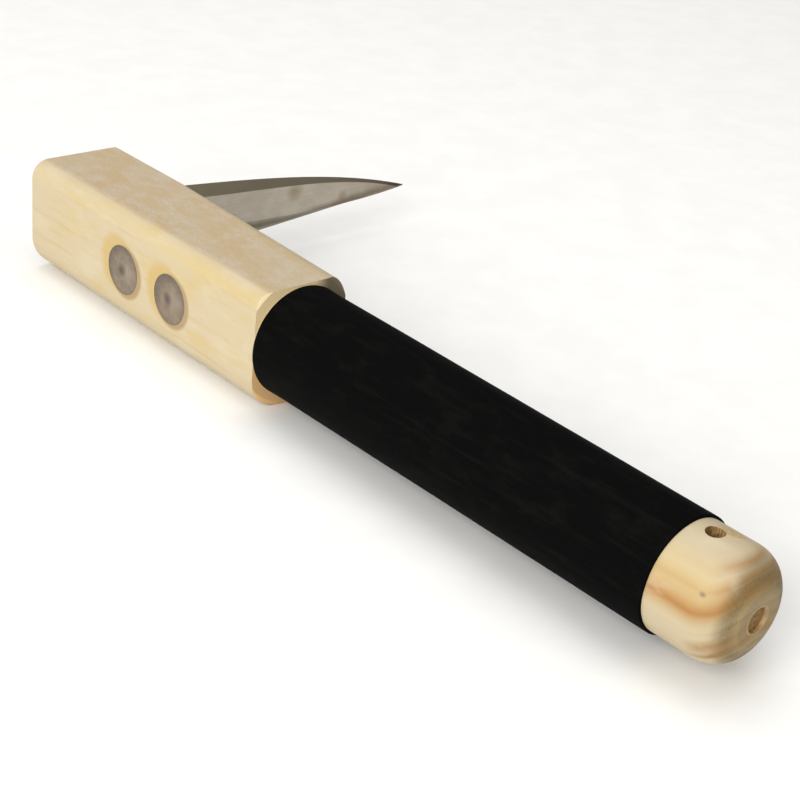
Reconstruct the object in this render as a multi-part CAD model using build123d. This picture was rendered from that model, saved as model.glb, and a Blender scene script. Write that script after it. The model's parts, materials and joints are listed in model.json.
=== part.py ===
"""One-hand tool: wooden handle with a square head, rubber grip sleeve and a right-angle pointed blade.

Frame, in millimetres: +Y runs along the handle from the butt towards the head, +X is the side that the
blade leaves from and +Z is up. The origin is on the flat underside of the head, below the handle's
axis and half way along the head, so the tool stands on the plane z = 0.
"""
from build123d import *
from math import hypot
import os

# ---------------------------------------------------------------- driving dimensions, mm
# Square head, measured from the handle's axis
head_length = 124.5
head_above = 17.5                # axis to the top face
head_below = 20.9                # axis to the underside
blade_face = 17.6                # axis to the face that carries the blade
plug_face = 16.2                 # axis to the opposite face, with the filled bolt holes
plug_top_round = 6.2             # long edges of the head
plug_bottom_round = 11.5
blade_bottom_round = 1.8
blade_top_round = 1.8
blade_top_round_shoulder = 7.5   # the last edge runs out to this radius at the shoulder
round_run_out = 84.0             # over this length
end_round = 1.5                  # edges of the end face

# Turned shoulder
collar_radius = 20.9
collar_break = 0.5
collar_run = 6.0                 # the cone that cuts the head's corners down to the collar
collar_rise = 7.0
neck_length = 0.9                # bare neck between the shoulder and the sleeve

# Round grip and its sleeve
grip_length = 148.6
grip_radius_butt = 15.6
grip_radius_head = 16.6
flare_rise = 0.2                 # the grip swells into the shoulder under the sleeve's end
flare_length = 8.0
sleeve_wall = 0.8

# Butt
butt_length = 21.8
butt_cone_run = 3.4
butt_flat_radius = 7.2
butt_shoulder_round = 9.0
butt_rim_round = 1.5
centre_recess_radius = 3.5
centre_recess_depth = 1.0
lanyard_hole_radius = 2.5
lanyard_hole_from_sleeve = 5.6

# Blade and tang, one flat bar bent a quarter turn
bar_thickness = 4.0
bar_width = 26.4
bar_drop = 1.6                   # centre line of the bar below the handle's axis
bend_inner_radius = 3.0
blade_reach = 128.2              # handle's axis to the tip
blade_back_from_end = 28.8       # back of the blade to the end of the head
tang_length = 70.0
seat_depth = 2.5                 # how far the tang is let into the head
seat_clearance = 0.15
plain_root = 2.5                 # full bar section beyond the bend, before the bevels start
tip_drop = 6.0                   # the tip lies this far below the handle's axis
tip_width = 0.4
tip_thickness = 0.8
tip_bevel_run = 3.7              # the flat stops this far short of the tip
root_edge_step = 0.3             # the ground edges start just inside the bar's edges
# Along the ground blade: share of its length, drop of the back edge below the bar's top,
# width of the upper bevel, width of the lower bevel
blade_stations = [
    (0.00, 0.3, 3.4, 10.5),
    (0.34, 3.7, 2.9, 5.2),
    (0.68, 9.0, 1.4, 1.2),
]

# Bolts across the head (M8) with their washers and nuts
bolt_radius = 4.0
bolt_length = 40.0
bolt_drop = 0.8                  # bolts' centre line below the handle's axis
bolt_spacing = 25.6
front_bolt_from_end = 56.0
bolt_hole_clearance = 0.25
bolt_tip_chamfer = 0.8
hex_across_flats = 13.0
bolt_head_height = 5.3
nut_height = 6.5
nut_bore_clearance = 0.03
washer_radius = 8.0
washer_thickness = 1.6
washer_hole_clearance = 0.2
hex_corner_bevel = 0.6           # how far the bevel on a hexagon's corners runs down

# Resin that fills the bolt counterbores
counterbore_clearance = 0.1      # around the washer
plug_cover = 2.6                 # resin over the bolt head
dimple_radius = 2.2
dimple_depth = 0.4

# ---------------------------------------------------------------- places worked out from them
axis_height = head_below
head_end = head_length / 2
head_start = -head_length / 2
sleeve_head_end = head_start - neck_length
sleeve_butt_end = sleeve_head_end - grip_length
butt_end = sleeve_butt_end - butt_length
neck_radius = grip_radius_head + flare_rise

blade_back = head_end - blade_back_from_end
blade_front = blade_back - bar_thickness
bar_height = axis_height - bar_drop
bar_top = bar_height + bar_width / 2
bar_bottom = bar_height - bar_width / 2
tip_height = axis_height - tip_drop
seat_x = blade_face - seat_depth
tang_face_x = seat_x + bar_thickness
bend_outer_radius = bend_inner_radius + bar_thickness
bend_y = blade_back - bend_outer_radius
bend_x = seat_x + bend_outer_radius
ground_x = bend_x + plain_root
ground_length = blade_reach - ground_x
tang_end = blade_back - tang_length

bolt_height = axis_height - bolt_drop
plug_radius = washer_radius + counterbore_clearance
front_bolt_y = head_end - front_bolt_from_end
bolt_places = {"front": front_bolt_y, "rear": front_bolt_y - bolt_spacing}
head_top_x = -plug_face + plug_cover               # outer face of the bolt head
head_seat_x = head_top_x + bolt_head_height        # under the bolt head
counterbore_floor_x = head_seat_x + washer_thickness
bolt_tip_x = head_seat_x + bolt_length
tang_washer_x = tang_face_x + washer_thickness     # outer face of the washer on the tang
nut_top_x = tang_washer_x + nut_height


# ---------------------------------------------------------------- shared shapes
def round_bar(x_from, x_to, y, radius):
    """Cylinder along X on a bolt's axis."""
    plane = Plane(origin=(x_from, y, bolt_height), x_dir=(0, 1, 0), z_dir=(1, 0, 0))
    return extrude(plane * Circle(radius), x_to - x_from)


def hex_bar(x_from, x_to, y, bevel_at_start, bevel_at_end):
    """Hexagon along X on a bolt's axis, its corners bevelled at the chosen ends."""
    plane = Plane(origin=(x_from, y, bolt_height), x_dir=(0, 1, 0), z_dir=(1, 0, 0))
    height = x_to - x_from
    prism = extrude(plane * RegularPolygon(hex_across_flats / 2, 6, major_radius=False), height)
    corner = hex_across_flats / 3 ** 0.5
    flat = hex_across_flats / 2
    start = flat if bevel_at_start else corner
    end = flat if bevel_at_end else corner
    turned = Polygon(
        (0, 0),
        (start, 0),
        (corner, hex_corner_bevel),
        (corner, height - hex_corner_bevel),
        (end, height),
        (0, height),
        align=None,
    )
    cone = revolve(Plane.XZ * turned, Axis.Z)
    return prism & (plane * cone)


def about_handle(profile):
    """Solid of revolution about the handle's axis, from a face in (radius, place along Y)."""
    return Pos(0, 0, axis_height) * revolve(profile, Axis.Y)


# ---------------------------------------------------------------- handle
def grip_outline(extra):
    """(radius, y) points of the grip's surface, from butt to head, moved out by extra."""
    return [
        (grip_radius_butt + extra, sleeve_butt_end),
        (grip_radius_head + extra, sleeve_head_end - flare_length),
        (neck_radius + extra, sleeve_head_end),
    ]


def head_section(y, blade_top):
    """Cross-section of the head at y; the radius of its blade-side top edge is given."""
    plane = Plane(origin=(0, y, axis_height), x_dir=(1, 0, 0), z_dir=(0, -1, 0))
    corners = {
        (-plug_face, head_above): plug_top_round,
        (-plug_face, -head_below): plug_bottom_round,
        (blade_face, -head_below): blade_bottom_round,
        (blade_face, head_above): blade_top,
    }
    face = Polygon(*corners, align=None)
    for corner, radius in corners.items():
        face = fillet(face.vertices().sort_by_distance(corner)[0], radius)
    return plane * face


def head_block():
    """Square head whose blade-side top edge grows rounder towards the shoulder."""
    block = loft([
        head_section(head_start, blade_top_round_shoulder),
        head_section(head_start + round_run_out, blade_top_round),
        head_section(head_end, blade_top_round),
    ], ruled=True)
    return fillet(block.faces().sort_by(Axis.Y)[-1].edges(), end_round)


def collar_envelope():
    """Turned envelope that cuts the head's corners down to the collar."""
    far = hypot(blade_face, head_below) + head_below
    return about_handle(Polygon(
        (0, head_start),
        (collar_radius - collar_break, head_start),
        (collar_radius, head_start + collar_break),
        (collar_radius + collar_rise, head_start + collar_break + collar_run),
        (far, head_start + collar_break + collar_run),
        (far, head_end + 1),
        (0, head_end + 1),
        align=None,
    ))


def grip_and_butt():
    """Round grip from inside the head to the butt's blunt cone."""
    rim = (butt_flat_radius, butt_end)
    cone_start = (grip_radius_butt, butt_end + butt_cone_run)
    face = Polygon(
        (0, butt_end),
        rim,
        cone_start,
        *grip_outline(0),
        (neck_radius, head_start + 1),
        (0, head_start + 1),
        align=None,
    )
    face = fillet(face.vertices().sort_by_distance(cone_start)[0], butt_shoulder_round)
    face = fillet(face.vertices().sort_by_distance(rim)[0], butt_rim_round)
    return about_handle(face)


def tang_seat():
    """Shallow pocket that the tang is let into; its end wall backs the blade."""
    height = bar_width + 2 * seat_clearance
    length = tang_length + 2 * seat_clearance
    return Pos(seat_x, tang_end - seat_clearance, bar_height) * Box(
        bend_outer_radius, length, height, align=(Align.MIN, Align.MIN, Align.CENTER)
    )


def lanyard_bore():
    """Hole straight down through the butt."""
    hole_y = sleeve_butt_end - lanyard_hole_from_sleeve
    return Pos(0, hole_y, axis_height) * Cylinder(lanyard_hole_radius, 3 * grip_radius_butt)


def centre_recess():
    """Shallow round recess in the end of the butt."""
    plane = Plane(origin=(0, butt_end, axis_height), x_dir=(1, 0, 0), z_dir=(0, 1, 0))
    return extrude(plane * Circle(centre_recess_radius), centre_recess_depth)


def make_handle():
    """Head, grip and butt in one piece of wood, with everything that is cut into it."""
    handle = (head_block() & collar_envelope()) + grip_and_butt()
    handle -= tang_seat()
    handle -= lanyard_bore()
    handle -= centre_recess()
    for y in bolt_places.values():
        handle -= round_bar(-2 * plug_face, counterbore_floor_x, y, plug_radius)
        handle -= round_bar(-plug_face, blade_face, y, bolt_radius + bolt_hole_clearance)
    return handle


# ---------------------------------------------------------------- grip sleeve
def make_sleeve():
    """Thin tube that follows the grip, open at both ends."""
    return about_handle(Polygon(*grip_outline(0), *reversed(grip_outline(sleeve_wall)), align=None))


# ---------------------------------------------------------------- blade
def blade_face_outline(plane, upper, lower, tip_x):
    """Face in plane: root edge, upper edge, blunt tip and lower edge, from (x, height) points."""
    upper_tip = (tip_x, tip_height + tip_width / 2)
    lower_tip = (tip_x, tip_height - tip_width / 2)
    with BuildSketch(plane) as sketch:
        with BuildLine():
            Spline(*upper, upper_tip)
            Line(upper_tip, lower_tip)
            Spline(lower_tip, *reversed(lower))
            Line(lower[0], upper[0])
        make_face()
    return sketch.sketch.face()


def ground_blade():
    """Pointed blade: full width at its back plane, narrower at its tapering front flat."""
    lower_root = bar_bottom + root_edge_step
    back_upper = []
    back_lower = []
    front_upper = []
    front_lower = []
    for share, drop, upper_bevel, lower_bevel in blade_stations:
        x = share * ground_length
        top = bar_top - drop
        bottom = lower_root + (tip_height - lower_root) * share
        back_upper.append((x, top))
        back_lower.append((x, bottom))
        front_upper.append((x, top - upper_bevel))
        front_lower.append((x, bottom + lower_bevel))
    back_plane = Plane(origin=(ground_x, blade_back, 0), x_dir=(1, 0, 0), z_dir=(0, -1, 0))
    flat_length = ground_length - tip_bevel_run
    taper = bar_thickness - tip_thickness
    front_plane = Plane(origin=(ground_x, blade_front, 0), x_dir=(flat_length, taper, 0),
                        z_dir=(taper, -flat_length, 0))
    back = blade_face_outline(back_plane, back_upper, back_lower, ground_length)
    front = blade_face_outline(front_plane, front_upper, front_lower, flat_length)
    return loft([back, front], ruled=True)


def bent_bar():
    """Tang and quarter bend, up to where the blade's bevels start."""
    with BuildPart() as bar:
        with BuildSketch(Plane.XY.offset(bar_bottom)):
            with BuildLine():
                Polyline((seat_x, bend_y), (seat_x, tang_end), (tang_face_x, tang_end), (tang_face_x, bend_y))
                RadiusArc((tang_face_x, bend_y), (bend_x, blade_front), bend_inner_radius)
                Polyline((bend_x, blade_front), (ground_x, blade_front), (ground_x, blade_back),
                         (bend_x, blade_back))
                RadiusArc((bend_x, blade_back), (seat_x, bend_y), -bend_outer_radius)
            make_face()
        extrude(amount=bar_width)
    return bar.part


def make_blade():
    """Tang, bend and blade in one bar, drilled for the bolts."""
    blade = bent_bar() + ground_blade()
    for y in bolt_places.values():
        blade -= round_bar(seat_x - 1, tang_face_x + 1, y, bolt_radius + bolt_hole_clearance)
    return blade


# ---------------------------------------------------------------- fasteners and resin
def make_bolt(y):
    """Hexagon-head bolt along +X."""
    head = hex_bar(head_top_x, head_seat_x, y, True, False)
    shank = round_bar(head_seat_x, bolt_tip_x, y, bolt_radius)
    shank = chamfer(shank.edges().sort_by(Axis.X)[-1], bolt_tip_chamfer)
    return head + shank


def make_washer(x_from, y):
    """Flat washer, its first face at x_from."""
    disc = round_bar(x_from, x_from + washer_thickness, y, washer_radius)
    return disc - round_bar(x_from - 1, x_from + washer_thickness + 1, y, bolt_radius + washer_hole_clearance)


def make_nut(y):
    """Hexagon nut on the washer over the tang."""
    nut = hex_bar(tang_washer_x, nut_top_x, y, True, True)
    return nut - round_bar(tang_washer_x - 1, nut_top_x + 1, y, bolt_radius + nut_bore_clearance)


def make_plug(y):
    """Resin over and around the bolt head, flush with the wood, with a shallow central dimple."""
    resin = round_bar(-plug_face, head_seat_x, y, plug_radius)
    resin -= hex_bar(head_top_x, head_seat_x, y, True, False)
    sphere_radius = (dimple_radius ** 2 + dimple_depth ** 2) / (2 * dimple_depth)
    centre_x = -plug_face + dimple_depth - sphere_radius
    return resin - Pos(centre_x, y, bolt_height) * Rot(0, 90, 0) * Sphere(sphere_radius)


# ---------------------------------------------------------------- write the pieces
def all_pieces():
    """Every piece of the tool by name."""
    pieces = {
        "handle": make_handle(),
        "grip_sleeve": make_sleeve(),
        "blade": make_blade(),
    }
    for place, y in bolt_places.items():
        pieces[f"blade_bolt_{place}"] = make_bolt(y)
        pieces[f"head_washer_{place}"] = make_washer(head_seat_x, y)
        pieces[f"filler_plug_{place}"] = make_plug(y)
        pieces[f"tang_washer_{place}"] = make_washer(tang_face_x, y)
        pieces[f"tang_nut_{place}"] = make_nut(y)
    return pieces


os.makedirs("parts", exist_ok=True)
for name, piece in all_pieces().items():
    export_step(piece, f"parts/{name}.step")
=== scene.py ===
"""Finish of the one-hand wooden tool: softwood, rubber sleeve, ground steel blade, zinc bolts and resin."""

import json
import math

import bpy
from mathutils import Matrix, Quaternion, Vector, noise


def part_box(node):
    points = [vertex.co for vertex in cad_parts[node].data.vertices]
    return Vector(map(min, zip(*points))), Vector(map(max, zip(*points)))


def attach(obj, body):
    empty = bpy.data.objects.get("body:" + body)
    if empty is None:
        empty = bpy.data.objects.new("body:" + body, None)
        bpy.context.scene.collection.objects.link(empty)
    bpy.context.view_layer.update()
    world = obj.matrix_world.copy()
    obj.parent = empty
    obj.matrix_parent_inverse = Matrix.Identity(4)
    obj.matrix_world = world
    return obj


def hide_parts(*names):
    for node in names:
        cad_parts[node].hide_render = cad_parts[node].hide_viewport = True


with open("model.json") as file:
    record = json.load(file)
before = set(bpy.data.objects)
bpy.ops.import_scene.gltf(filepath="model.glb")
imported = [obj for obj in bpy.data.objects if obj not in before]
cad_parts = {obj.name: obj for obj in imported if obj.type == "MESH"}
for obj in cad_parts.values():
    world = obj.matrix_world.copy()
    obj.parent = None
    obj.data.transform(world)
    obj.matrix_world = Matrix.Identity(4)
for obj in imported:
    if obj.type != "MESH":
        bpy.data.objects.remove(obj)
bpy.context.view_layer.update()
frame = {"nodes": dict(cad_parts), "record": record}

MM = 0.001

# ---------------------------------------------------------------- places, from the frame
sleeve_low, sleeve_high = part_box("grip_sleeve")
handle_low, handle_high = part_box("handle")
blade_low, blade_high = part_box("blade")
washer_low, washer_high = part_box("tang_washer_front")
disc_low, disc_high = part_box("filler_plug_front")
axis_height = (sleeve_low.z + sleeve_high.z) / 2
neck_length = 0.9 * MM           # bare wood between the sleeve and the head's shoulder
head_start = sleeve_high.y + neck_length
butt_end = handle_low.y
disc_face = disc_low.x
disc_radius = (disc_high.z - disc_low.z) / 2
mounts = {mount["name"]: mount for mount in frame["record"]["mounts"]}
lanyard_hole = Vector(mounts["lanyard_hole"]["pos_m"])
lanyard_radius = mounts["lanyard_hole"]["dims"]["r_mm"] * MM
bolt_places = ("front", "rear")


def centre(node):
    """Middle of a CAD node's box."""
    low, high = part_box(node)
    return (low + high) / 2


def disc_middle(place):
    """Middle of a resin disc's open face."""
    middle = centre(f"filler_plug_{place}")
    return Vector((disc_face, middle.y, middle.z))


# ---------------------------------------------------------------- node trees
class Tree:
    """One finish: its node tree, its colour so far, and short calls for the nodes that the finishes use."""

    def __init__(self, name):
        self.material = bpy.data.materials.new(name)
        self.material.use_nodes = True
        self.nodes = self.material.node_tree.nodes
        self.links = self.material.node_tree.links
        self.shader = self.nodes["Principled BSDF"]
        self.position = self.nodes.new("ShaderNodeTexCoord").outputs["Object"]
        self.normal = self.nodes.new("ShaderNodeNewGeometry").outputs["Normal"]
        self.colour = None

    def wire(self, value, socket):
        """Link a socket, or set its plain value."""
        if isinstance(value, bpy.types.NodeSocket):
            self.links.new(value, socket)
        else:
            socket.default_value = value

    def math(self, operation, *values):
        """One step of arithmetic on numbers."""
        node = self.nodes.new("ShaderNodeMath")
        node.operation = operation
        for value, socket in zip(values, node.inputs):
            self.wire(value, socket)
        return node.outputs[0]

    def vector(self, operation, *values):
        """One step of arithmetic on vectors."""
        node = self.nodes.new("ShaderNodeVectorMath")
        node.operation = operation
        for value, socket in zip(values, node.inputs):
            self.wire(value, socket)
        return node.outputs["Value" if operation == "LENGTH" else "Vector"]

    def axes(self, value):
        """The three parts of a vector."""
        node = self.nodes.new("ShaderNodeSeparateXYZ")
        self.wire(value, node.inputs[0])
        return node.outputs

    def product(self, first, *others):
        """Product of two or more numbers."""
        for other in others:
            first = self.math("MULTIPLY", first, other)
        return first

    def rest(self, share):
        """What a share leaves of 1."""
        return self.math("SUBTRACT", 1.0, share)

    def spread(self, value, low, high, to_low=0.0, to_high=1.0):
        """Smooth step of a value from low..high to to_low..to_high."""
        node = self.nodes.new("ShaderNodeMapRange")
        node.interpolation_type = "SMOOTHSTEP"
        for number, socket in zip((value, low, high, to_low, to_high), node.inputs):
            self.wire(number, socket)
        return node.outputs[0]

    def fall(self, value, low, high):
        """1 up to low, falling smoothly to 0 at high."""
        return self.spread(value, low, high, 1.0, 0.0)

    def distance(self, middle, stretch):
        """Distance from a place, stretched along each axis; a stretch of 0 leaves that axis out."""
        offset = self.vector("SUBTRACT", self.position, tuple(middle))
        return self.vector("LENGTH", self.vector("MULTIPLY", offset, stretch))

    def spot(self, middle, inner, outer, stretch=(1.0, 1.0, 1.0)):
        """1 within inner of a place, falling to 0 at outer."""
        return self.fall(self.distance(middle, stretch), inner, outer)

    def noise(self, cell, detail=2.0, roughness=0.5, shift=0.0):
        """Noise with cells of these three sizes, in metres."""
        scaled = self.vector("MULTIPLY", self.position, [1 / size for size in cell])
        moved = self.vector("ADD", scaled, (shift, shift, shift))
        node = self.nodes.new("ShaderNodeTexNoise")
        self.wire(moved, node.inputs["Vector"])
        node.inputs["Scale"].default_value = 1.0
        node.inputs["Detail"].default_value = detail
        node.inputs["Roughness"].default_value = roughness
        return node.outputs["Fac"]

    def ramp(self, value, low, high, stops):
        """Colours at stops between low and high."""
        share = self.math("DIVIDE", self.math("SUBTRACT", value, low), high - low)
        node = self.nodes.new("ShaderNodeValToRGB")
        self.wire(share, node.inputs[0])
        elements = node.color_ramp.elements
        while len(elements) < len(stops):
            elements.new(0.5)
        for element, (stop, colour) in zip(elements, stops):
            element.position = (stop - low) / (high - low)
            element.color = (*colour, 1.0)
        return node.outputs[0]

    def mix(self, share, first, second):
        """Mix of two colours."""
        node = self.nodes.new("ShaderNodeMix")
        node.data_type = "RGBA"
        self.wire(share, node.inputs[0])
        for value, socket in ((first, node.inputs[6]), (second, node.inputs[7])):
            if isinstance(value, tuple):
                value = (*value, 1.0)
            self.wire(value, socket)
        return node.outputs[2]

    def lay(self, share, colour):
        """Lay a colour over the finish so far, by a share of it."""
        self.colour = self.mix(share, self.colour, colour)

    def finish(self, roughness, layers=(), specular=0.5, metallic=0.0):
        """Wire the shader; each layer is a bump of (height, depth in metres)."""
        self.wire(self.colour, self.shader.inputs["Base Color"])
        self.wire(roughness, self.shader.inputs["Roughness"])
        self.shader.inputs["Specular IOR Level"].default_value = specular
        self.shader.inputs["Metallic"].default_value = metallic
        normal_input = self.shader.inputs["Normal"]
        for height, depth in reversed(layers):
            node = self.nodes.new("ShaderNodeBump")
            node.inputs["Distance"].default_value = depth
            self.wire(height, node.inputs["Height"])
            self.wire(node.outputs[0], normal_input)
            normal_input = node.inputs["Normal"]
        return self.material


# ---------------------------------------------------------------- softwood
cream = (0.525, 0.44, 0.295)
pale_cream = (0.495, 0.41, 0.27)
pale_orange = (0.47, 0.335, 0.18)
gold = (0.52, 0.40, 0.18)
bleached_cream = (0.56, 0.49, 0.35)
tan = (0.475, 0.37, 0.23)
tan_gold = (0.47, 0.35, 0.20)
speckle_brown = (0.38, 0.29, 0.17)
grey_dust = (0.51, 0.45, 0.365)
resin_gold = (0.50, 0.33, 0.085)
# painted shadow that each disc casts on the wood beside it
disc_shadow_brown = (0.29, 0.185, 0.075)
late_wood_brown = (0.33, 0.155, 0.04)
underside_brown = (0.30, 0.165, 0.05)
# end-grain colours, darkened beyond the grain's own tone as painted shade on faces turned from the light
end_grain_and_shade_brown = (0.165, 0.11, 0.035)
end_grain_and_shade_pale = (0.26, 0.185, 0.075)
# shoulder colours: cream is painted light, the end grain's orange is painted brighter as painted light,
# brown is painted shade
shoulder_painted_light = (0.88, 0.70, 0.40)
shoulder_orange_and_light = (0.74, 0.46, 0.20)
shoulder_painted_shade = (0.12, 0.10, 0.055)
bore_brown = (0.22, 0.125, 0.04)
bore_orange = (0.50, 0.32, 0.13)
torn_pale = (0.68, 0.50, 0.27)
recess_dark = (0.20, 0.105, 0.025)
recess_light = (0.36, 0.22, 0.075)
knot_grey = (0.15, 0.12, 0.085)

pith = (2.0 * MM, 0.0, -2.0 * MM)
across_grain = (1.0, 0.0, 1.0)
ring_warp = 2.2 * MM
ring_span = (15 * MM, 45 * MM)   # distances from the pith that the two lists below lie in
fine_ring_pitch = 3.1 * MM
end_ring_pitch = 3.4 * MM
butt_blend = 40 * MM             # the butt's rings fade out over this length under the sleeve
end_reach = 8 * MM
shoulder_reach = 9 * MM
halo_shift = Vector((0, 3.0 * MM, 1.4 * MM))
# place and width of the painted shadow beside each disc
disc_shadow_shift = Vector((0, -1.4 * MM, -0.3 * MM))
disc_shadow_width = 1.5 * MM
knot_place = (-13.2 * MM, sleeve_low.y - 14.2 * MM, axis_height + 7.85 * MM)
torn_shift = Vector((3.9 * MM, -1.9 * MM, 15.0 * MM))
recess_radius = 3.45 * MM

# Growth rings seen in the butt: distance from the pith, and colour
butt_rings = [
    (28.2 * MM, pale_cream),
    (29.6 * MM, (0.46, 0.35, 0.205)),
    (30.6 * MM, (0.42, 0.26, 0.11)),
    (31.4 * MM, (0.34, 0.155, 0.04)),
    (32.3 * MM, (0.38, 0.19, 0.06)),
    (33.1 * MM, (0.40, 0.24, 0.118)),
    (34.1 * MM, (0.41, 0.26, 0.138)),
    (34.6 * MM, (0.37, 0.21, 0.095)),
    (35.1 * MM, (0.43, 0.29, 0.155)),
    (36.0 * MM, pale_cream),
]
# Rings that only show where they run out at the butt's end: distance from the pith, and strength
end_rings = [
    (17.8 * MM, 0.0),
    (19.4 * MM, 1.0),
    (21.0 * MM, 0.45),
    (23.6 * MM, 0.75),
    (26.0 * MM, 0.0),
    (30.6 * MM, 0.0),
    (31.8 * MM, 0.8),
    (33.4 * MM, 0.0),
    (36.0 * MM, 0.0),
    (37.1 * MM, 0.9),
    (38.4 * MM, 0.0),
]


class Softwood(Tree):
    """Bare sanded softwood; each method lays one of its features over the colour so far."""

    def __init__(self):
        super().__init__("softwood")
        self.x, self.y, self.z = self.axes(self.position)
        self.normal_x, self.normal_y, self.normal_z = self.axes(self.normal)
        self.in_butt = self.fall(self.y, sleeve_low.y, sleeve_low.y + butt_blend)
        self.at_butt_end = self.math("LESS_THAN", self.y, butt_end + end_reach)
        from_shoulder = self.math("ABSOLUTE", self.math("SUBTRACT", self.y, head_start))
        self.off_shoulder = self.math("GREATER_THAN", from_shoulder, shoulder_reach)
        self.from_axis = self.distance((0.0, 0.0, axis_height), across_grain)
        warp = self.math("SUBTRACT", self.noise((16 * MM, 45 * MM, 16 * MM)), 0.5)
        from_pith = self.distance(pith, across_grain)
        self.ring = self.math("ADD", from_pith, self.math("MULTIPLY", warp, ring_warp))
        self.fibre = self.noise((0.35 * MM, 9 * MM, 0.35 * MM), 3.0, 0.6)
        self.patch = self.noise((9 * MM, 24 * MM, 8 * MM), 3.0, 0.6, shift=3.0)
        self.speckle = self.noise((0.8 * MM, 1.6 * MM, 0.8 * MM), 3.0, 0.7, shift=5.0)
        self.pore = self.noise((0.5 * MM, 0.5 * MM, 0.5 * MM), 2.0, 0.6, shift=2.0)
        self.splinter = self.noise((0.6 * MM, 0.6 * MM, 3.0 * MM), 3.0, 0.6, shift=9.0)
        self.rag = self.noise((0.8 * MM, 0.8 * MM, 0.8 * MM), 3.0, 0.7, shift=4.0)

    def growth_rings(self):
        """Rings in the butt, and those that run out at its end."""
        self.colour = self.mix(self.in_butt, cream, self.ramp(self.ring, *ring_span, butt_rings))
        strengths = [(stop, (strength, strength, strength)) for stop, strength in end_rings]
        near_end = self.spread(self.y, butt_end + 3 * MM, butt_end + 11 * MM, 0.9, 0.0)
        self.run_out = self.product(near_end, self.ramp(self.ring, *ring_span, strengths))
        self.lay(self.run_out, late_wood_brown)

    def figure(self):
        """Faint uneven rings all over, fibres and golden patches on the head, and bleached patches."""
        on_head = self.rest(self.in_butt)
        fine_ring = self.math("FRACT", self.math("DIVIDE", self.ring, fine_ring_pitch))
        late_wood = self.product(self.spread(fine_ring, 0.5, 0.85), self.fall(fine_ring, 0.85, 1.0))
        uneven = self.noise((7 * MM, 30 * MM, 7 * MM), shift=7.0)
        self.lay(self.product(late_wood, self.spread(uneven, 0.42, 0.7, 0.0, 0.45)), pale_orange)
        self.lay(self.product(self.spread(self.fibre, 0.42, 0.7, 0.04, 0.24), on_head), gold)
        self.lay(self.product(self.spread(self.patch, 0.47, 0.66, 0.0, 0.62), on_head), gold)
        bleached = self.noise((7 * MM, 18 * MM, 7 * MM), 3.0, 0.6, shift=21.0)
        self.lay(self.spread(bleached, 0.52, 0.7, 0.0, 0.5), bleached_cream)

    def dusty_top(self):
        """Top of the head: rougher, duller and dusty, with a fairly crisp border."""
        past_shoulder = self.math("GREATER_THAN", self.y, head_start)
        self.on_top = self.product(self.spread(self.normal_z, 0.93, 0.99), past_shoulder)
        smudge = self.noise((4 * MM, 7 * MM, 4 * MM), 4.0, 0.62, shift=11.0)
        top_colour = self.mix(self.spread(self.patch, 0.4, 0.6), tan, tan_gold)
        top_colour = self.mix(self.spread(self.speckle, 0.52, 0.72, 0.0, 0.35), top_colour, speckle_brown)
        self.lay(self.product(self.on_top, 0.9), top_colour)
        dust = self.product(self.spread(smudge, 0.38, 0.66), self.spread(self.speckle, 0.3, 0.62))
        self.lay(self.product(self.on_top, dust, 0.8), grey_dust)

    def golden_edge(self):
        """The rounded edge above the discs is golden."""
        upward = self.product(self.spread(self.normal_z, 0.12, 0.5), self.fall(self.normal_z, 0.95, 0.99))
        on_edge = self.product(upward, self.fall(self.normal_x, -0.95, -0.3))
        self.lay(self.product(on_edge, self.spread(self.y, head_start, handle_high.y, 0.6, 0.15)), gold)

    def halos_and_disc_shadows(self):
        """Resin soaked into the wood round each disc, more towards the head's end and top, and a painted
        shadow of each disc on the wood towards the butt and below.
        """
        for place in bolt_places:
            middle = disc_middle(place)
            halo = self.spot(middle + halo_shift, 7.2 * MM, 10.6 * MM, stretch=(1.0, 1.0, 0.95))
            self.lay(self.product(halo, 0.62), resin_gold)
            # painted shadow of the disc on the wood, towards the butt and below
            rim = self.spot(middle + disc_shadow_shift, disc_radius, disc_radius + disc_shadow_width)
            self.lay(self.product(rim, 0.72), disc_shadow_brown)

    def end_grain_and_shade(self):
        """End grain at both ends, its colours darkened further as painted shade, lighter at the middle of
        the butt's, and the butt's browner underside.
        """
        grain_start = self.spread(self.x, -12 * MM, 0.0, 0.6, 0.25)
        self.on_end = self.spread(self.math("ABSOLUTE", self.normal_y), grain_start, 0.95)
        end_ring = self.math("FRACT", self.math("DIVIDE", self.ring, end_ring_pitch))
        end_ring = self.spread(end_ring, 0.2, 0.95, 0.84, 1.0)
        pores = self.spread(self.pore, 0.25, 0.75, 0.8, 1.0)
        end_middle = self.product(self.fall(self.from_axis, 7.5 * MM, 10.5 * MM), self.at_butt_end)
        # end-grain colour that holds painted shade as well as the grain's own brown
        end_colour = self.mix(end_middle, end_grain_and_shade_brown, end_grain_and_shade_pale)
        self.lay(self.product(self.on_end, self.off_shoulder, pores, end_ring), end_colour)
        below = self.fall(self.z, axis_height - 6 * MM, axis_height)
        self.lay(self.product(self.run_out, below, 0.7), underside_brown)

    def shoulder(self):
        """The shoulder: painted light in cream above and end-grain orange, painted brighter as painted
        light, below on the discs' side; painted shade in brown on the blade's side.
        """
        towards_butt = self.fall(self.normal_y, -0.5, -0.2)
        on_shoulder = self.product(towards_butt, self.rest(self.off_shoulder))
        squareness = self.spread(self.normal_y, -0.95, -0.6, 0.95, 0.25)
        # painted light: cream on the shoulder's faces towards the butt, strongest on the squarest
        self.lay(self.product(on_shoulder, squareness), shoulder_painted_light)
        below = self.fall(self.z, axis_height - 8 * MM, axis_height)
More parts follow.
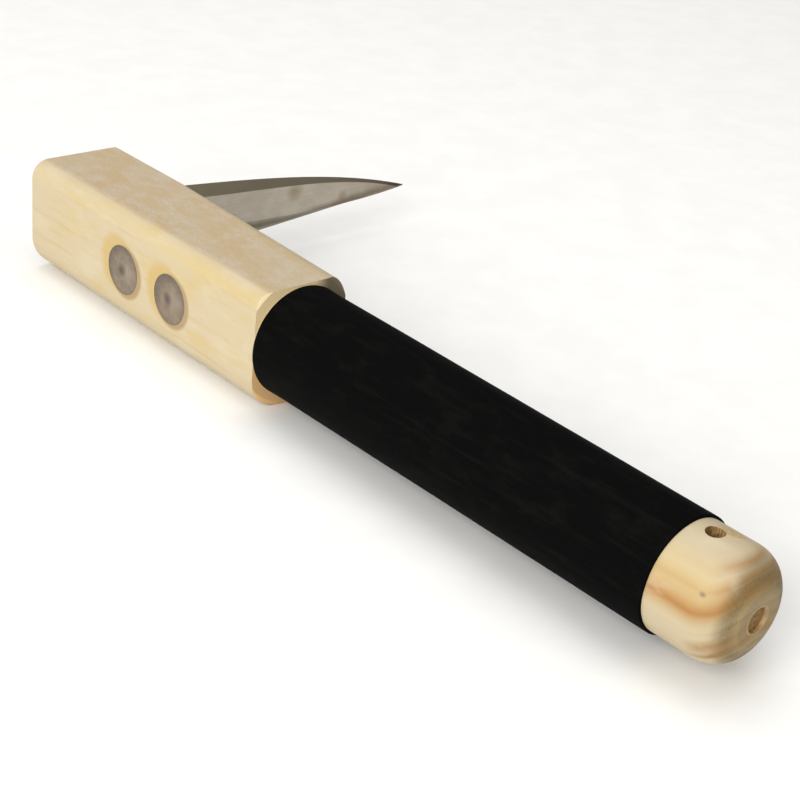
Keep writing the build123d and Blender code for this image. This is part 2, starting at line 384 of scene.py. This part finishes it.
        # end-grain orange below the axis, painted brighter as painted light
        self.lay(self.product(on_shoulder, below, 0.95), shoulder_orange_and_light)
        blade_side = self.spread(self.x, 4 * MM, 11 * MM)
        # painted shade: brown on the blade's side of the shoulder
        self.lay(self.product(on_shoulder, blade_side, 0.95), shoulder_painted_shade)

    def knot(self):
        """One small dead knot in the butt."""
        spot = self.spot(knot_place, 0.1 * MM, 0.9 * MM, stretch=(1.0, 0.7, 1.0))
        self.lay(self.product(spot, 0.7), knot_grey)

    def lanyard_bore(self):
        """Lanyard hole: brown inside, its mouth torn on the blade's side."""
        from_bore_axis = self.distance(lanyard_hole, (1.0, 1.0, 0.0))
        self.in_bore = self.math("LESS_THAN", from_bore_axis, lanyard_radius + 0.05 * MM)
        bore_colour = self.mix(self.spread(self.splinter, 0.35, 0.65), bore_brown, bore_orange)
        self.lay(self.in_bore, bore_colour)
        patch = self.spot(lanyard_hole + torn_shift, 1.8 * MM, 3.0 * MM, stretch=(1.0, 0.65, 0.4))
        ragged = self.spread(self.fibre, 0.35, 0.6, 0.6, 1.0)
        self.torn = self.product(patch, self.rest(self.in_bore), ragged)
        torn_colour = self.mix(self.spread(self.splinter, 0.4, 0.6), bore_orange, torn_pale)
        self.lay(self.torn, torn_colour)

    def centre_recess(self):
        """Lathe-centre recess: ragged and brown, with a paler cut rim."""
        within = self.math("LESS_THAN", self.from_axis, recess_radius)
        self.in_recess = self.product(within, self.at_butt_end)
        recess_colour = self.mix(self.spread(self.rag, 0.3, 0.7), recess_dark, recess_light)
        self.lay(self.in_recess, recess_colour)
        outside = self.spread(self.from_axis, 3.4 * MM, 3.6 * MM)
        cut_rim = self.product(outside, self.fall(self.from_axis, 3.8 * MM, 4.3 * MM), self.at_butt_end)
        self.lay(self.product(cut_rim, self.spread(self.rag, 0.4, 0.6, 0.05, 0.4)), torn_pale)


def softwood():
    """Softwood with its rings and end grain, the finish's halos, the dirt of handling, and painted light
    and shade on the shoulder, the ends and beside the discs.
    """
    wood = Softwood()
    wood.growth_rings()
    wood.figure()
    wood.dusty_top()
    wood.golden_edge()
    wood.halos_and_disc_shadows()
    wood.end_grain_and_shade()
    wood.shoulder()
    wood.knot()
    wood.lanyard_bore()
    wood.centre_recess()
    fuzz = wood.product(wood.speckle, wood.math("ADD", wood.on_top, 0.15))
    layers = [
        (wood.patch, 0.15 * MM),
        (wood.fibre, 0.03 * MM),
        (fuzz, 0.12 * MM),
        (wood.product(wood.rag, wood.in_recess), 0.8 * MM),
        (wood.product(wood.pore, wood.on_end), 0.08 * MM),
        (wood.product(wood.splinter, wood.in_bore), 0.8 * MM),
        (wood.product(wood.fibre, wood.torn), 0.6 * MM),
    ]
    return wood.finish(wood.spread(wood.fibre, 0.3, 0.7, 0.52, 0.68), layers, specular=0.3)


# ---------------------------------------------------------------- rubber
rubber_black = (0.0018, 0.0018, 0.0018)
rubber_dust = (0.0045, 0.0045, 0.0042)
rubber_streak = (0.006, 0.006, 0.0056)


def rubber():
    """Matte black rubber with a little dust in its skin."""
    tree = Tree("black_rubber")
    skin = tree.noise((0.5 * MM, 0.5 * MM, 0.5 * MM), 3.0, 0.6)
    dust = tree.noise((6 * MM, 12 * MM, 6 * MM), 5.0, 0.65, shift=3.0)
    streak = tree.noise((2 * MM, 25 * MM, 2 * MM), 3.0, 0.6, shift=8.0)
    tree.colour = tree.mix(tree.spread(dust, 0.45, 0.75), rubber_black, rubber_dust)
    tree.lay(tree.spread(streak, 0.5, 0.8, 0.0, 0.6), rubber_streak)
    roughness = tree.spread(dust, 0.3, 0.8, 0.66, 0.88)
    return tree.finish(roughness, [(dust, 0.1 * MM), (skin, 0.02 * MM)], specular=0.025)


# ---------------------------------------------------------------- blade steel
steel_dull = (0.395, 0.35, 0.29)
steel_light = (0.45, 0.405, 0.34)
line_grey = (0.35, 0.305, 0.25)
# the bevel colours are the ground bevels' darker tone with painted dark reflection over it; the edge colour
# is painted dark reflection
upper_bevel_and_reflection = (0.27, 0.23, 0.15)
lower_bevel_and_reflection = (0.33, 0.285, 0.215)
edge_reflection_brown = (0.14, 0.115, 0.075)
tip_brown = (0.25, 0.20, 0.15)
smudge_brown = (0.25, 0.19, 0.115)
# Brown smudges on the blade's flat: middle and reach
smudges = [
    ((73.0 * MM, 31.0 * MM, 22.5 * MM), 5.0 * MM),
    ((96.5 * MM, 31.7 * MM, 16.0 * MM), 3.4 * MM),
]
edge_root_rise = 0.3 * MM        # how far above the blade's lowest point its lower edge starts
edge_tip_height = 14.7 * MM      # height of the lower edge at the tip
line_rise = 4.5 * MM             # how far above the edge the dark line runs at the root
line_length = 55 * MM            # and over what length it comes down to the edge


def dark_reflection_line(tree, x, z, cloud):
    """Share of the painted dark reflection along the lower edge, above it at the root and on it further
    out.
    """
    root_x = washer_high.x
    root_height = blade_low.z + edge_root_rise
    rise = (edge_tip_height - root_height) / (blade_high.x - root_x)
    edge = tree.math("ADD", root_height, tree.math("MULTIPLY", tree.math("SUBTRACT", x, root_x), rise))
    wander = tree.math("MULTIPLY", tree.math("SUBTRACT", cloud, 0.5), 2 * MM)
    above_edge = tree.math("ADD", tree.math("SUBTRACT", z, edge), wander)
    near_root = tree.rest(tree.spread(x, root_x, root_x + line_length))
    from_line = tree.math("SUBTRACT", above_edge, tree.math("MULTIPLY", near_root, line_rise))
    under_middle = tree.spread(from_line, -1.0 * MM, 1.5 * MM)
    over_middle = tree.fall(from_line, 1.5 * MM, 4.5 * MM)
    return tree.product(under_middle, over_middle)


def blade_steel():
    """Ground steel: lines along the flat, coarser bevels darkened as ground bevels and with painted dark
    reflection, a painted dark reflection along the lower edge, a few soft brown smudges.
    """
    tree = Tree("ground_steel")
    x, _, z = tree.axes(tree.position)
    normal_z = tree.axes(tree.normal)["Z"]
    along = tree.noise((30 * MM, 30 * MM, 0.25 * MM), 3.0, 0.6)
    across = tree.noise((0.3 * MM, 2.0 * MM, 8 * MM), 3.0, 0.6, shift=4.0)
    cloud = tree.noise((9 * MM, 12 * MM, 6 * MM), 4.0, 0.6, shift=6.0)
    past_handle = tree.math("GREATER_THAN", x, washer_low.x)
    upper_bevel = tree.product(tree.spread(normal_z, 0.08, 0.3), past_handle)
    lower_bevel = tree.product(tree.fall(normal_z, -0.3, -0.08), past_handle)
    bevel = tree.math("ADD", upper_bevel, lower_bevel)
    tree.colour = tree.mix(tree.spread(cloud, 0.3, 0.7), steel_dull, steel_light)
    tree.lay(tree.spread(along, 0.4, 0.7, 0.0, 0.35), line_grey)
    for middle, reach in smudges:
        smudge = tree.spot(middle, 0.3 * MM, reach, stretch=(1.0, 0.2, 0.9))
        tree.lay(tree.product(smudge, tree.spread(cloud, 0.35, 0.6, 0.35, 0.7)), smudge_brown)
    # bevels darkened as ground bevels and as painted dark reflection
    tree.lay(tree.product(upper_bevel, 0.85), upper_bevel_and_reflection)
    tree.lay(tree.product(lower_bevel, 0.85), lower_bevel_and_reflection)
    # painted dark reflection along the lower edge
    tree.lay(tree.product(dark_reflection_line(tree, x, z, cloud), past_handle, 0.85), edge_reflection_brown)
    tree.lay(tree.spread(x, blade_high.x - 40 * MM, blade_high.x - 5 * MM, 0.0, 0.45), tip_brown)
    roughness = tree.math("ADD", tree.spread(along, 0.3, 0.7, 0.3, 0.42), tree.product(bevel, 0.06))
    flat_lines = tree.product(along, tree.rest(bevel))
    grinding = tree.math("ADD", flat_lines, tree.product(across, bevel))
    return tree.finish(roughness, [(grinding, 0.012 * MM), (cloud, 0.05 * MM)], metallic=1.0)


# ---------------------------------------------------------------- zinc
zinc_light = (0.60, 0.60, 0.58)
zinc_dull = (0.50, 0.49, 0.45)


def zinc():
    """Zinc plate, slightly clouded."""
    tree = Tree("zinc_plate")
    cloud = tree.noise((2.5 * MM, 2.5 * MM, 2.5 * MM), 3.0, 0.6)
    grain = tree.noise((0.2 * MM, 0.2 * MM, 0.2 * MM), 2.0, 0.5, shift=5.0)
    tree.colour = tree.mix(tree.spread(cloud, 0.35, 0.7), zinc_light, zinc_dull)
    roughness = tree.spread(cloud, 0.3, 0.7, 0.28, 0.46)
    return tree.finish(roughness, [(grain, 0.01 * MM)], metallic=1.0)


# ---------------------------------------------------------------- resin
resin_light = (0.20, 0.152, 0.108)
resin_dark = (0.16, 0.118, 0.08)
# the pale tone is a painted highlight; the rim and middle tones are painted shade
resin_highlight = (0.27, 0.22, 0.165)
resin_rim_shade = (0.085, 0.067, 0.048)
dimple_shade = (0.08, 0.06, 0.048)
highlight_shift = Vector((0, -3.0 * MM, 0))
inner_shift = Vector((0, -0.8 * MM, -1.2 * MM))
dimple_shift = Vector((0, 0.9 * MM, -0.3 * MM))


def resin():
    """Grey-brown filler: painted shade makes it darker at its upper rim and at its centre, a painted
    highlight makes it palest beside the centre, and painted glints fleck the rim.
    """
    tree = Tree("resin_filler")
    y = tree.axes(tree.position)["Y"]
    cloud = tree.noise((3.0 * MM, 3.0 * MM, 3.0 * MM), 3.0, 0.55)
    fine = tree.noise((0.6 * MM, 0.6 * MM, 0.6 * MM), 2.0, 0.5, shift=2.0)
    tree.colour = tree.mix(tree.spread(cloud, 0.35, 0.7), resin_light, resin_dark)
    for place in bolt_places:
        middle = disc_middle(place)
        from_disc = tree.math("ABSOLUTE", tree.math("SUBTRACT", y, middle.y))
        on_disc = tree.math("LESS_THAN", from_disc, disc_radius)
        # painted highlight beside the dimple
        pale = tree.spot(middle + highlight_shift, 0.5 * MM, 5.0 * MM)
        tree.lay(tree.product(pale, 0.55), resin_highlight)
        # painted shade at the disc's upper rim
        rim = tree.product(on_disc, tree.rest(tree.spot(middle + inner_shift, 5.2 * MM, 9.0 * MM)))
        tree.lay(tree.product(rim, 0.85), resin_rim_shade)
        # painted shade in the dimple
        dark = tree.spot(middle + dimple_shift, 0.7 * MM, 2.9 * MM)
        tree.lay(tree.product(dark, 0.85), dimple_shade)
        # painted glints: cream flecks on the shaded rim
        rim_glints = tree.product(rim, tree.spread(fine, 0.62, 0.72))
        tree.lay(tree.product(rim_glints, 0.5), cream)
    roughness = tree.spread(cloud, 0.3, 0.7, 0.32, 0.48)
    return tree.finish(roughness, [(cloud, 0.12 * MM), (fine, 0.03 * MM)], specular=0.4)


# ---------------------------------------------------------------- the finishes by slot
finishes = {
    "wood": softwood(),
    "rubber": rubber(),
    "blade_steel": blade_steel(),
    "fastener_steel": zinc(),
    "resin": resin(),
}
slot_of = {subpart["node"]: subpart["material_slot"] for subpart in frame["record"]["subparts"]}


def paint(piece, slot):
    """Give a piece one finish."""
    piece.data.materials.clear()
    piece.data.materials.append(finishes[slot])


for node, piece in frame["nodes"].items():
    paint(piece, slot_of[node])


# ---------------------------------------------------------------- modelled pieces
def turned_mesh(name, rows, sides, to_place, closed):
    """Mesh of rings: each row is a function of the angle that gives (along, radius)."""
    vertices = []
    for row in rows:
        for side in range(sides):
            angle = 2 * math.pi * side / sides
            along, radius = row(angle)
            vertices.append(to_place(along, radius, angle))
    faces = []
    spans = len(rows) if closed else len(rows) - 1
    for row in range(spans):
        this = row * sides
        following = (row + 1) % len(rows) * sides
        for side in range(sides):
            beside = (side + 1) % sides
            faces.append((this + side, this + beside, following + beside, following + side))
    if not closed:
        faces.append(tuple(reversed(range(sides))))
        faces.append(tuple((len(rows) - 1) * sides + side for side in range(sides)))
    mesh = bpy.data.meshes.new(name)
    mesh.from_pydata(vertices, [], faces)
    mesh.validate()
    mesh.update()
    piece = bpy.data.objects.new(name, mesh)
    bpy.context.scene.collection.objects.link(piece)
    return piece


def round_row(along, radius):
    """Row of one radius all round."""
    return lambda angle: (along, radius)


def add_piece(piece, slot, sharp_degrees, node):
    """Shade a piece smooth between its sharp edges, paint it, and let it ride for its CAD node."""
    piece.data.shade_smooth()
    piece.data.set_sharp_from_angle(angle=math.radians(sharp_degrees))
    paint(piece, slot)
    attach(piece, "root")
    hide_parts(node)


def sleeve():
    """Rubber sleeve: soft undulations, rounded lips and a hand-cut end at the butt."""
    wall = 0.8 * MM
    flare_start = sleeve_high.y - 8 * MM
    radius_butt = 16.4 * MM
    radius_flare = 17.4 * MM
    radius_head = (sleeve_high.x - sleeve_low.x) / 2
    swell_depth = 0.05 * MM
    swell_length = 18 * MM
    swell_ring = 2.0             # a wider ring of noise gives more ripples round the sleeve
    cut_depth = 0.16 * MM
    cut_ring = 1.7
    lip = 0.4 * MM
    lip_steps = 5
    length_rows = 110
    sides = 160

    def outer(y):
        """Radius of the sleeve, which widens evenly towards the head and flares at its end."""
        if y > flare_start:
            share = (y - flare_start) / (sleeve_high.y - flare_start)
            return radius_flare + (radius_head - radius_flare) * share
        share = (y - sleeve_low.y) / (flare_start - sleeve_low.y)
        return radius_butt + (radius_flare - radius_butt) * share

    def swell(y, angle):
        """Inward ripple of the surface, up to a tenth of a millimetre."""
        place = Vector((swell_ring * math.cos(angle), y / swell_length, swell_ring * math.sin(angle)))
        return -swell_depth * (1 + noise.noise(place))

    def cut(angle):
        """How far the hand-cut end at the butt stands back."""
        place = Vector((cut_ring * math.cos(angle), 4.0, cut_ring * math.sin(angle)))
        return cut_depth * (1 + noise.noise(place))

    def surface_row(y):
        return lambda angle: (y, outer(y) + swell(y, angle))

    def lip_row(end, direction, turn):
        """Row of a rounded lip, which faces the butt when the direction is 1 and the head when it is -1."""
        def row(angle):
            back = cut(angle) if direction > 0 else 0.0
            y = end + direction * (back + lip * (1 - math.sin(turn)))
            return y, outer(end) + swell(end, angle) - lip * (1 - math.cos(turn))
        return row

    def inner_row(end, direction):
        def row(angle):
            back = cut(angle) if direction > 0 else 0.0
            return end + direction * back, outer(end) - wall
        return row

    turns = [math.pi / 2 * step / lip_steps for step in range(lip_steps + 1)]
    rows = [inner_row(sleeve_low.y, 1)]
    rows += [lip_row(sleeve_low.y, 1, turn) for turn in reversed(turns)]
    surface_start = sleeve_low.y + lip + cut(0)
    surface_length = sleeve_high.y - sleeve_low.y - 2 * lip - cut(0)
    for step in range(1, length_rows):
        rows.append(surface_row(surface_start + surface_length * step / length_rows))
    rows += [lip_row(sleeve_high.y, -1, turn) for turn in turns]
    rows.append(inner_row(sleeve_high.y, -1))

    def to_place(along, radius, angle):
        return (radius * math.cos(angle), along, axis_height - radius * math.sin(angle))

    piece = turned_mesh("rubber_sleeve", rows, sides, to_place, closed=True)
    add_piece(piece, "rubber", 60, "grip_sleeve")


def threaded_bolt(place):
    """Hexagon-head bolt whose end is cut with its real thread."""
    low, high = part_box(f"blade_bolt_{place}")
    nut_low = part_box(f"tang_nut_{place}")[0]
    middle = centre(f"blade_bolt_{place}")
    across_flats = high.z - low.z
    corner_radius = across_flats / math.sqrt(3)
    face_radius = 0.98 * across_flats / 2    # the bevel at the head's face takes in the flats too
    head_height = 5.3 * MM
    corner_bevel = 0.6 * MM
    major = 3.98 * MM
    depth = 0.6 * MM
    pitch = 1.25 * MM
    flank = 1.25                 # over 1 leaves the groove a flat root
    chamfer = 0.9 * MM
    thread_start = nut_low.x - 3 * MM
    thread_length = high.x - thread_start
    rows_per_pitch = 10
    sides = 72

    def hexagon(angle):
        sector = math.pi / 3
        return across_flats / 2 / math.cos((angle + sector / 2) % sector - sector / 2)

    def head_row(x, limit):
        return lambda angle: (x, min(hexagon(angle), limit))

    def thread_row(x):
        """Row of the thread, which fades in over its first pitch and is chamfered at its end."""
        def row(angle):
            phase = (x / pitch - angle / (2 * math.pi)) % 1.0
            groove = depth * min(1.0, flank * (1 - abs(2 * phase - 1)))
            fade_in = min(1.0, (x - thread_start) / pitch)
            return x, min(major - groove * fade_in, major - (x - (high.x - chamfer)))
        return row

    rows = [
        head_row(low.x, face_radius),
        head_row(low.x + corner_bevel, corner_radius),
        head_row(low.x + head_height, corner_radius),
        round_row(low.x + head_height, major),
        round_row(thread_start, major),
    ]
    steps = int(thread_length / pitch * rows_per_pitch)
    rows += [thread_row(thread_start + thread_length * step / steps) for step in range(1, steps + 1)]

    def to_place(along, radius, angle):
        return (along, middle.y - radius * math.sin(angle), middle.z + radius * math.cos(angle))

    piece = turned_mesh(f"threaded_bolt_{place}", rows, sides, to_place, closed=False)
    add_piece(piece, "fastener_steel", 30, f"blade_bolt_{place}")


def resin_disc(place):
    """Filler over a bolt's head: dished as it shrank, with a rounded rim and an off-centre dimple."""
    low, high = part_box(f"filler_plug_{place}")
    bolt_low, bolt_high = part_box(f"blade_bolt_{place}")
    middle = centre(f"filler_plug_{place}")
    bolt_clearance = 0.05 * MM
    cavity_radius = (bolt_high.z - bolt_low.z) / math.sqrt(3) + bolt_clearance
    dish = 0.14 * MM
    dimple_depth = 0.3 * MM
    dimple_radius = 0.8 * MM
    rim_round = 0.25 * MM
    rim_steps = 5
    face_steps = 24
    inmost_radius = 0.05 * MM
    flat_radius = disc_radius - rim_round
    sides = 96

    def sink(radius):
        """How far the open face lies behind its rim."""
        bowl = dish * (1 - (radius / flat_radius) ** 2)
        return bowl + dimple_depth * math.exp(-(radius / dimple_radius) ** 2)

    rows = []
    for step in range(face_steps + 1):
        radius = inmost_radius + (flat_radius - inmost_radius) * step / face_steps
        rows.append(round_row(low.x + sink(radius), radius))
    for step in range(1, rim_steps + 1):
        turn = math.pi / 2 * step / rim_steps
        along = low.x + rim_round * (1 - math.cos(turn))
        rows.append(round_row(along, flat_radius + rim_round * math.sin(turn)))
    rows += [
        round_row(high.x, disc_radius),
        round_row(high.x, cavity_radius),
        round_row(bolt_low.x, cavity_radius),
        round_row(bolt_low.x, inmost_radius),
    ]

    def to_place(along, radius, angle):
        """Place on the disc; the open face's rings move over to the dimple as they get smaller."""
        on_face = along < low.x + dish + dimple_depth
        shift = max(0.0, 1 - radius / flat_radius) if on_face else 0.0
        y = middle.y + shift * dimple_shift.y - radius * math.sin(angle)
        z = middle.z + shift * dimple_shift.z + radius * math.cos(angle)
        return (along, y, z)

    piece = turned_mesh(f"resin_disc_{place}", rows, sides, to_place, closed=False)
    add_piece(piece, "resin", 40, f"filler_plug_{place}")


sleeve()
for place in bolt_places:
    threaded_bolt(place)
    resin_disc(place)


# ---------------------------------------------------------------- floor, light and camera
paper_light = (0.90, 0.90, 0.89)
paper_dull = (0.87, 0.87, 0.86)
paper_cell = 20 * MM
floor_half = 40.0
floor_drop = 0.05 * MM
sky_colour = (1.0, 0.99, 0.97)
sky_brightest = Vector((-0.8, 0.1, 0.6)).normalized()
warm_white = (1.0, 0.985, 0.955)
white = (1.0, 1.0, 1.0)
tool_middle = (0.0, -0.08, 0.02)


def pale_paper():
    """Off-white studio paper."""
    tree = Tree("pale_paper")
    fibre = tree.noise((paper_cell, paper_cell, paper_cell), 3.0, 0.6)
    tree.colour = tree.mix(tree.spread(fibre, 0.3, 0.7), paper_light, paper_dull)
    return tree.finish(0.9, specular=0.1)


def floor():
    """Large pale sheet that the tool lies on."""
    corners = [(-floor_half, -floor_half, 0), (floor_half, -floor_half, 0),
               (floor_half, floor_half, 0), (-floor_half, floor_half, 0)]
    mesh = bpy.data.meshes.new("floor")
    mesh.from_pydata(corners, [], [(0, 1, 2, 3)])
    sheet = bpy.data.objects.new("floor", mesh)
    bpy.context.scene.collection.objects.link(sheet)
    sheet.data.materials.append(pale_paper())
    sheet.location.z = -floor_drop


def sky():
    """Soft surroundings, brighter on the side of the discs than on the blade's."""
    world = bpy.data.worlds.new("studio")
    bpy.context.scene.world = world
    world.use_nodes = True
    nodes = world.node_tree.nodes
    links = world.node_tree.links
    direction = nodes.new("ShaderNodeTexCoord").outputs["Generated"]
    lean = nodes.new("ShaderNodeVectorMath")
    lean.operation = "DOT_PRODUCT"
    links.new(direction, lean.inputs[0])
    lean.inputs[1].default_value = sky_brightest
    strength = nodes.new("ShaderNodeMapRange")
    links.new(lean.outputs["Value"], strength.inputs["Value"])
    for name, value in (("From Min", -0.6), ("From Max", 0.9), ("To Min", 0.2), ("To Max", 0.85)):
        strength.inputs[name].default_value = value
    links.new(strength.outputs[0], nodes["Background"].inputs["Strength"])
    nodes["Background"].inputs["Color"].default_value = (*sky_colour, 1.0)


def area_light(name, place, size, power, colour):
    """Square soft light aimed at the tool's middle: place and size in metres, power in watts."""
    data = bpy.data.lights.new(name, "AREA")
    data.shape = "SQUARE"
    data.size = size
    data.energy = power
    data.color = colour
    light = bpy.data.objects.new(name, data)
    bpy.context.scene.collection.objects.link(light)
    light.location = place
    light.rotation_mode = "QUATERNION"
    light.rotation_quaternion = (Vector(tool_middle) - Vector(place)).to_track_quat("-Z", "Y")


def camera():
    """Camera from behind and above the butt, on the side of the discs."""
    heading = 44.594
    pitch = 27.406
    roll = 6.383
    place = (-0.2887, -0.40105, 0.2346)
    data = bpy.data.cameras.new("camera")
    data.lens = 74.7
    data.sensor_width = 36.0
    data.clip_start = 0.02
    eye = bpy.data.objects.new("camera", data)
    bpy.context.scene.collection.objects.link(eye)
    eye.location = place
    turn = Quaternion((0, 0, 1), math.radians(-heading))
    tilt = Quaternion((1, 0, 0), math.radians(90 - pitch))
    spin = Quaternion((0, 0, 1), math.radians(roll))
    eye.rotation_mode = "QUATERNION"
    eye.rotation_quaternion = turn @ tilt @ spin
    bpy.context.scene.camera = eye


floor()
sky()
area_light("key", place=(-1.25, -0.45, 0.75), size=0.9, power=16.0, colour=warm_white)
area_light("top_fill", place=(0.1, 0.1, 1.6), size=1.4, power=9.0, colour=white)
camera()
bpy.context.scene.view_settings.view_transform = "Standard"
